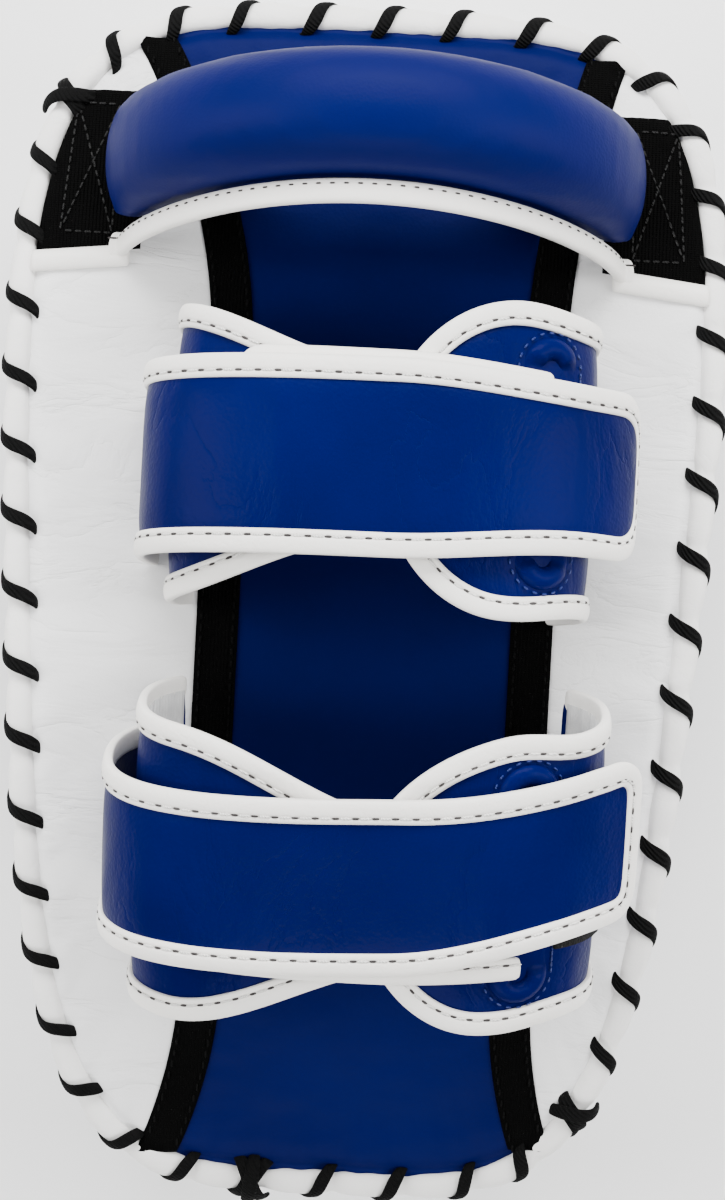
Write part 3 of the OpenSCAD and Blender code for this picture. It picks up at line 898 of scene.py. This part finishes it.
def slot_cuff(s):
    """Right cuff: a rounded end over the middle, and a long slot with a raised, stitched rim."""
    name = s.name
    band = Band(s, LAYER, math.radians(89), math.radians(-36))

    def edge(l, side):
        """Half-ellipse over the middle, drawn out on its upper side, and straight round the right side."""
        x = band.x(l) if l < 75 else 90
        tip = s.tip if side > 0 else LOWER_TIP
        full = math.sqrt(max(0, 1 - max(0, 1 - (x - 6) / tip) ** 2))
        return s.lift + side * (SLOT_CUFF_HALF * full - 3 * ease((x - 46) / 24))

    start = next(l / 10 for l in range(400) if band.x(l / 10) >= 6)
    ls = [start + 60 * (1 - math.cos(math.pi / 2 * i / 26)) for i in range(1, 27)]
    ls += [start + 60 + (band.length - start - 60) * i / 30 for i in range(1, 31)]
    spans = []
    for l in ls:
        y0, y1 = edge(l, -1) + 4.5, edge(l, 1) - 4.5
        if y1 - y0 > 2:
            spans.append((min(l + 2.5, band.length), y0, y1))
    sheet_of(name + "_slot_cuff_leather", band, spans, "shield", [name + "_slot_cuff"], 7.7)
    upper, lower = [(l, edge(l, 1)) for l in ls[::-1]], [(l, edge(l, -1)) for l in ls]
    binding(name + "_slot_cuff_edge", band, line_between(upper + [(start, s.lift)] + lower), "shield",
            name + "_slot_cuff_binding", seed=3)
    lining(name + "_slot_cuff_lining", band, start + 30, band.length - 2,
           lambda l, side: edge(l, side) - 4 * side, 4.5)
    slot_l = slot_rim(s, band)
    patch(name + "_slot_cuff_pile", band, (slot_l + 10.5, slot_l + 31), (-16, 20), (BAND_T, BAND_T + 1.7),
          "shield", name + "_slot_cuff_loop")


def slot_rim(s, band):
    """Raised rim of the slot, flat where the tongue passes, and the stitches round it."""
    middle = Vector((nearest_l(band, SLOT_X), s.lift))

    def oval(share, out):
        """Point of the oval round the slot at a share of its length, moved out, and the way out."""
        straight, bend = 2 * SLOT_REACH, math.pi * SLOT_R
        d = 2 * (straight + bend) * share
        if d < straight:
            p, w = Vector((SLOT_R, d - SLOT_REACH)), 0
        elif d < straight + bend:
            w = (d - straight) / SLOT_R
            p = Vector((SLOT_R * math.cos(w), SLOT_REACH + SLOT_R * math.sin(w)))
        elif d < 2 * straight + bend:
            w = math.pi
            p = Vector((-SLOT_R, SLOT_REACH - (d - straight - bend)))
        else:
            w = math.pi + (d - 2 * straight - bend) / SLOT_R
            p = Vector((SLOT_R * math.cos(w), SLOT_R * math.sin(w) - SLOT_REACH))
        e = Vector((math.cos(w), math.sin(w)))
        return middle + p + e * out, e

    n, stitches = 120, 84
    rings = []
    for k in range(n):
        base, out = oval(k / n, 0)
        free = ease((abs(base.y - s.lift) - s.tongue - 0.5) / 3)
        ring = []
        for w in around(12):
            p = base + out * 3.6 * math.cos(w)
            ring.append(band.at(p.x, p.y, BAND_T * 0.7 + (0.8 + 2.2 * free) * math.sin(w)))
        rings.append(ring)
    b = Build()
    b.sweep(rings, True)
    obj = b.make(s.name + "_slot_rim", [BLUE_STRAP], "shield", "blue_strap_leather")
    smooth(obj)
    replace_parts(obj, s.name + "_slot_ring")
    st = Build()
    for k in range(stitches):
        c, out = oval(k / stitches, 4.6)
        d = Vector((-out.y, out.x))

        def on_cuff(u, across, up):
            p = c + d * u + out * 0.3 * across
            return band.at(p.x, p.y, BAND_T + 0.25 + 0.22 * up)

        stitch(st, on_cuff, SHORT_BEAD)
    st.make(s.name + "_slot_stitches", [THREAD_BLUE], "shield", "blue_strap_leather")
    return middle.x


def nearest_l(band, x):
    """Length along a band where its plan position is x, on its upper side."""
    off = lambda p: abs(p.x - x) + (50 if p.y < WAIST else 0)
    return band.run[min(range(len(band.pts)), key=lambda i: off(band.pts[i]))]


def pull_strap(s):
    """The cuff's end, which runs on under the slotted cuff to the slot."""
    band = Band(s, -BAND_T - 0.2, math.radians(116), s.slot_t())
    ls = [band.length * i / 30 for i in range(31)]
    spans = [(l, s.tongue_edge(band.x(l), -1) + 1, s.tongue_edge(band.x(l), 1) - 1) for l in ls]
    sheet_of(s.name + "_pull_strap_leather", band, spans, "shield", [s.name + "_pull_strap"], 9.9, 0.15,
             BAND_T - 0.4)


def tongue(s):
    """The pull strap's end, folded back through the slot."""
    name, body = s.name, s.name + "_tongue"
    band = Band(s, 2 * LAYER, s.slot_t(), math.radians(TONGUE_END))
    edge = lambda l, side: s.tongue_edge(band.x(l), side)
    ls = [band.length * i / 40 for i in range(41)]
    spans = [(l, edge(l, -1) + 4, edge(l, 1) - 4) for l in ls if l < band.length - 4]
    sheet_of(name + "_tongue_leather", band, spans, body, [body], 5.4, 0.2)
    binding(name + "_tongue_edge", band, rounded_end(band.length, edge, 7), body, body + "_binding", seed=4)
    patch(name + "_tongue_pile", band, (band.length - 44, band.length - 10), (-16, 16), (-1.7, 0.3),
          body, body + "_hook")


def flap(s):
    """Closing flap over everything, sewn at the left, with rounded corners at its right end."""
    name, body = s.name, s.name + "_flap"
    whole = Band(s, 3 * LAYER, math.radians(216), math.radians(s.end), s.reach)
    fold_l = Band(s, 3 * LAYER, math.radians(216), math.radians(FOLD_AT)).length
    edge = lambda l, side: s.flap_edge(whole.x(l), side)
    ls = [whole.length * i / 110 for i in range(111)]
    spans = [(l, edge(l, -1) + 4, edge(l, 1) - 4) for l in ls if l < whole.length - 4]
    leather = sheet_of(name + "_flap_leather", whole, spans, body, [body, name + "_flap_base"], 1.2, 0.55)
    bound = binding(name + "_flap_edge", whole, rounded_end(whole.length, edge, s.round_by), body,
                    body + "_binding", seed=5)
    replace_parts(bound[0], name + "_flap_base_binding")
    start = whole.at(fold_l - 9, 0, 1)
    finish = whole.at(fold_l + 4, 0, 1)
    for part in (leather, *bound):
        settle(part)
        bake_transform(part)
    low, high = (edge(whole.length - 20, side) - 8 * side for side in (-1, 1))
    patch(name + "_flap_pile", whole, (whole.length - 34, whole.length - 9), (low, high), (-1.6, 0.3),
          body, body + "_hook")


def settle(obj):
    """Applies the modifiers, so that the mesh is final."""
    deps = bpy.context.evaluated_depsgraph_get()
    done = bpy.data.meshes.new_from_object(obj.evaluated_get(deps))
    obj.modifiers.clear()
    obj.data = done
    obj.parent = None


# ---------------------------------------------------------------- hand guard and grip
def guard_z(x):
    """Height of the guard's arch above the back."""
    return 3 + (GUARD_H - 3) * max(0, 1 - (x / (GUARD_HALF + 1)) ** 2) ** 0.75


def guard_place(x, y, z):
    """From the guard's own frame, which stands upright on the back, to the pad's."""
    tilt = math.asin(GUARD_Y / BACK_R)
    c, s = math.cos(tilt), math.sin(tilt)
    foot = AXIS_Z + math.sqrt(BACK_R ** 2 - GUARD_Y ** 2)
    return Vector((x, GUARD_Y + y * c + z * s, foot - y * s + z * c)) * MM


def guard_frame(x):
    """Way out of the guard's arch at x, in its own plane."""
    d = Vector((2, guard_z(x + 1) - guard_z(x - 1)))
    if abs(x) >= GUARD_HALF:
        d = Vector((0.6, -math.copysign(1.6, x)))
    d.normalize()
    return Vector((-d.y, d.x))


def hand_guard():
    """Padded roll over the grip, thinner at its sewn ends and swollen as a cloth bag."""
    rings = []
    n = 60
    for i in range(n + 1):
        a = math.pi * (i / n - 0.5) * 0.96
        x = GUARD_HALF * math.sin(a) / math.sin(math.pi / 2 * 0.96)
        up = guard_frame(x)
        thin = 3 + (GUARD_R - 5) * max(0, 1 - (abs(x) / (GUARD_HALF + 1)) ** 5) ** 0.5
        ring = []
        for w in around(32):
            u = thin * soft(math.sin(w), 0.9)
            v = (GUARD_R - 2) * soft(math.cos(w), 0.85)
            ring.append(guard_place(x + up.x * u, v, max(guard_z(x) + up.y * u, 2.2)))
        rings.append(ring)
    b = Build()
    b.sweep(rings)
    obj = b.make("hand_guard", [BLUE_GUARD], "shield", "blue_panel_leather")
    inflate(obj, 0.004, 5, 0.004)
    dress(obj, [BLUE_GUARD])
    smooth(obj)
    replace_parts(obj, "guard_cover", "guard_foam")


def guard_piping():
    """White binding along the guard's lower edge, with a fine row of stitches drawn dark in the painted
    needle-hole shade.
    """
    n = 120
    xs = [GUARD_HALF * 1.05 * math.sin(math.pi * (i / n - 0.5) * 0.97) for i in range(n + 1)]
    lean = lambda v: -1.5 - 0.1 * (v + GUARD_R)
    rings = []
    for x in xs:
        up = guard_frame(x)
        ring = []
        for w in around(16):
            v = -GUARD_R - 3.2 + 4.0 * soft(math.cos(w), 0.8)
            u = 2.2 * soft(math.sin(w), 0.8) + lean(v)
            ring.append(guard_place(x + up.x * u, v, max(guard_z(x) + up.y * u, 2.4)))
        rings.append(ring)
    b = Build()
    b.sweep(rings)
    obj = b.make("guard_piping_roll", [BINDING], "shield", "white_binding")
    smooth(obj)
    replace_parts(obj, "guard_piping")
    st = Build()
    v = -GUARD_R - 1.5
    for x, ahead in zip(xs[2:n - 1:2], xs[3:n:2]):
        d = Vector((ahead - x, guard_z(ahead) - guard_z(x))).normalized()
        c = Vector((x, guard_z(x))) + guard_frame(x) * (2.25 + lean(v))
        stitch(st, lambda u, q, up: guard_place(c.x + d.x * u, v + 0.3 * q, c.y + d.y * u + 0.3 * up),
               SHORT_BEAD)
    # the stitches take the needle-hole colour: dark dashes of painted shade, not dark thread
    st.make("guard_piping_stitch_shade", [HOLE_SHADE], "shield", "white_binding")


TAB_INNER, TAB_LOW, TAB_HIGH = GUARD_HALF + 1, GUARD_Y - 24, GUARD_Y + 26


def guard_tab(side, word):
    """Ribbed webbing tab at one end of the guard."""
    rings = []
    rows, cols = 31, 14
    for i in range(rows):
        f = i / (rows - 1)
        y = TAB_LOW + (TAB_HIGH - TAB_LOW) * f
        x0, x1 = TAB_INNER - 6, outline_x(y, 6.5)
        edge = 1 - abs(2 * f - 1) ** 10
        top, under = [], []
        for j in range(cols):
            v = j / (cols - 1)
            x = x0 + (x1 - x0) * v
            ahead = y - 4 * (1 - f) * v
            rib = 0.15 * math.sin(x * 2.4)
            top.append(on_back(side * x, ahead, back_height(side * x, y) * 0.4 + 1.2 + 0.9 * edge + rib))
            under.append(on_back(side * x, ahead, -0.6))
        rings.append(top + under[::-1])
    b = Build()
    b.sweep(rings)
    obj = b.make("guard_tab_web_" + word, [WEB], "shield", "webbing")
    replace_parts(obj, "guard_tab_" + word)


def tab_strip(side, word):
    """White strip along the lower edge of a tab."""
    rings = []
    x0, x1 = TAB_INNER - 3, outline_x(TAB_LOW - 4, 5.5)
    n = 26
    for j in range(n):
        f = j / (n - 1)
        x = x0 + (x1 - x0) * f
        y = TAB_LOW - 2.5 - 3.5 * f
        rings.append([on_back(side * x, y + 3.6 * math.cos(w), 1.8 + 1.9 * math.sin(w)) for w in around(12)])
    b = Build()
    b.sweep(rings)
    obj = b.make("guard_tab_strip_" + word, [BINDING], "shield", "white_binding")
    smooth(obj)
    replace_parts(obj, "guard_tab_binding_" + word)


def tab_stitches(side, word):
    """Box with crossed diagonals, sewn through a tab."""
    st = Build()
    x0, x1, y0, y1 = TAB_INNER + 3, outline_x(GUARD_Y, 10), TAB_LOW + 4, TAB_HIGH - 5
    low_in, low_out, high_out, high_in = (x0, y0), (x1, y0), (x1 - 3, y1), (x0, y1)
    for start, end in ((low_in, low_out), (low_out, high_out), (high_out, high_in), (high_in, low_in),
                       (low_in, high_out), (high_in, low_out)):
        run = Vector(end) - Vector(start)
        d = run.normalized()
        for q in range(int(run.length / 3)):
            m = Vector(start) + d * (3 * q + 1.5)
            level = back_height(side * m.x, m.y) * 0.4 + 2.3

            def on_tab(u, across, up):
                x = m.x + d.x * u - d.y * 0.35 * across
                return on_back(side * x, m.y + d.y * u + d.x * 0.35 * across, level + 0.3 * up)

            stitch(st, on_tab, ((-1.1, 0.3), (-0.8, 1), (0.8, 1), (1.1, 0.3)))
    st.make("guard_tab_stitches_" + word, [DARK_THREAD], "shield", "webbing")


def grip():
    """Leather sleeve round the grip, and the webbing look of the CAD strap that carries it."""
    rings = []
    n = 41
    for i in range(n):
        f = 2 * i / (n - 1) - 1
        x = GRIP_HALF * f
        r = GRIP_R * (1 - 0.22 * abs(f) ** 6) * (1 + 0.02 * math.sin(x * 0.9))
        r *= 0.35 + 0.65 * min(1, (GRIP_HALF - abs(x)) / 3 + 0.05) ** 0.5
        rings.append([guard_place(x, r * math.cos(w) - 4, GRIP_H - 1.2 + r * math.sin(w))
                      for w in around(24)])
    b = Build()
    b.sweep(rings)
    obj = b.make("grip_sleeve", [GRIP], "shield", "black_leather")
    smooth(obj)
    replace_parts(obj, "grip_roll")
    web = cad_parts["grip_strap"]
    web.data.materials.clear()
    web.data.materials.append(WEB)


# ---------------------------------------------------------------- floor, light and camera
def stage():
    """Pale floor, four soft lamps and a dim even sky."""
    me = bpy.data.meshes.new("floor")
    h = 6
    me.from_pydata([(-h, -h, 0), (h, -h, 0), (h, h, 0), (-h, h, 0)], [], [(0, 1, 2, 3)])
    floor = bpy.data.objects.new("floor", me)
    bpy.context.collection.objects.link(floor)
    m = bpy.data.materials.new("paper")
    m.use_nodes = True
    m.node_tree.nodes["Principled BSDF"].inputs["Base Color"].default_value = (0.9, 0.9, 0.9, 1)
    m.node_tree.nodes["Principled BSDF"].inputs["Roughness"].default_value = 0.9
    me.materials.append(m)

    def lamp(name, at, size, watts):
        light = bpy.data.lights.new(name, "AREA")
        light.shape = "RECTANGLE"
        light.size, light.size_y = size
        light.energy = watts
        obj = bpy.data.objects.new(name, light)
        obj.location = at
        obj.rotation_euler = (Vector((0, 0, 0.1)) - Vector(at)).to_track_quat("-Z", "Y").to_euler()
        bpy.context.collection.objects.link(obj)

    lamp("key_top", (0.0, 1.25, 1.15), (1.8, 0.8), 75)
    lamp("fill_left", (-1.4, 0.1, 1.15), (0.8, 1.5), 34)
    lamp("fill_right", (1.4, 0.1, 1.15), (0.8, 1.5), 34)
    lamp("fill_low", (0, -1.4, 1.1), (1.5, 0.7), 24)
    world = bpy.data.worlds.new("studio")
    world.use_nodes = True
    world.node_tree.nodes["Background"].inputs["Color"].default_value = (1, 1, 1, 1)
    world.node_tree.nodes["Background"].inputs["Strength"].default_value = 0.22
    bpy.context.scene.world = world


VIEW_DIST, VIEW_Z = 1.15, 0.105         # metres from the camera to the level it is set for, and that level
VIEW_TALL = 0.3768                      # metres that fill the frame's height at that level
VIEW_X, VIEW_Y, VIEW_TURN = 0.0029, 0.0006, math.radians(3.05)
SENSOR = 36


def camera():
    """Looks straight down on the back, turned as in the photo."""
    cam = bpy.data.cameras.new("view")
    cam.sensor_fit = "VERTICAL"
    cam.sensor_height = SENSOR
    cam.lens = SENSOR * VIEW_DIST / VIEW_TALL
    obj = bpy.data.objects.new("view", cam)
    obj.location = (VIEW_X, VIEW_Y, VIEW_Z + VIEW_DIST)
    obj.rotation_euler = (0, 0, VIEW_TURN)
    bpy.context.collection.objects.link(obj)
    bpy.context.scene.camera = obj


camera()
stage()
pad_body()
strike_piping()
back_panels()
tape(-1, "tape_left")
tape(1, "tape_right")
rim()
lacing()
hand_guard()
guard_piping()
for tab_side, tab_word in ((-1, "left"), (1, "right")):
    guard_tab(tab_side, tab_word)
    tab_strip(tab_side, tab_word)
    tab_stitches(tab_side, tab_word)
grip()
for strap_name, sizes in STRAPS.items():
    strap = Strap(strap_name, **sizes)
    cuff(strap)
    slot_cuff(strap)
    pull_strap(strap)
    tongue(strap)
    flap(strap)
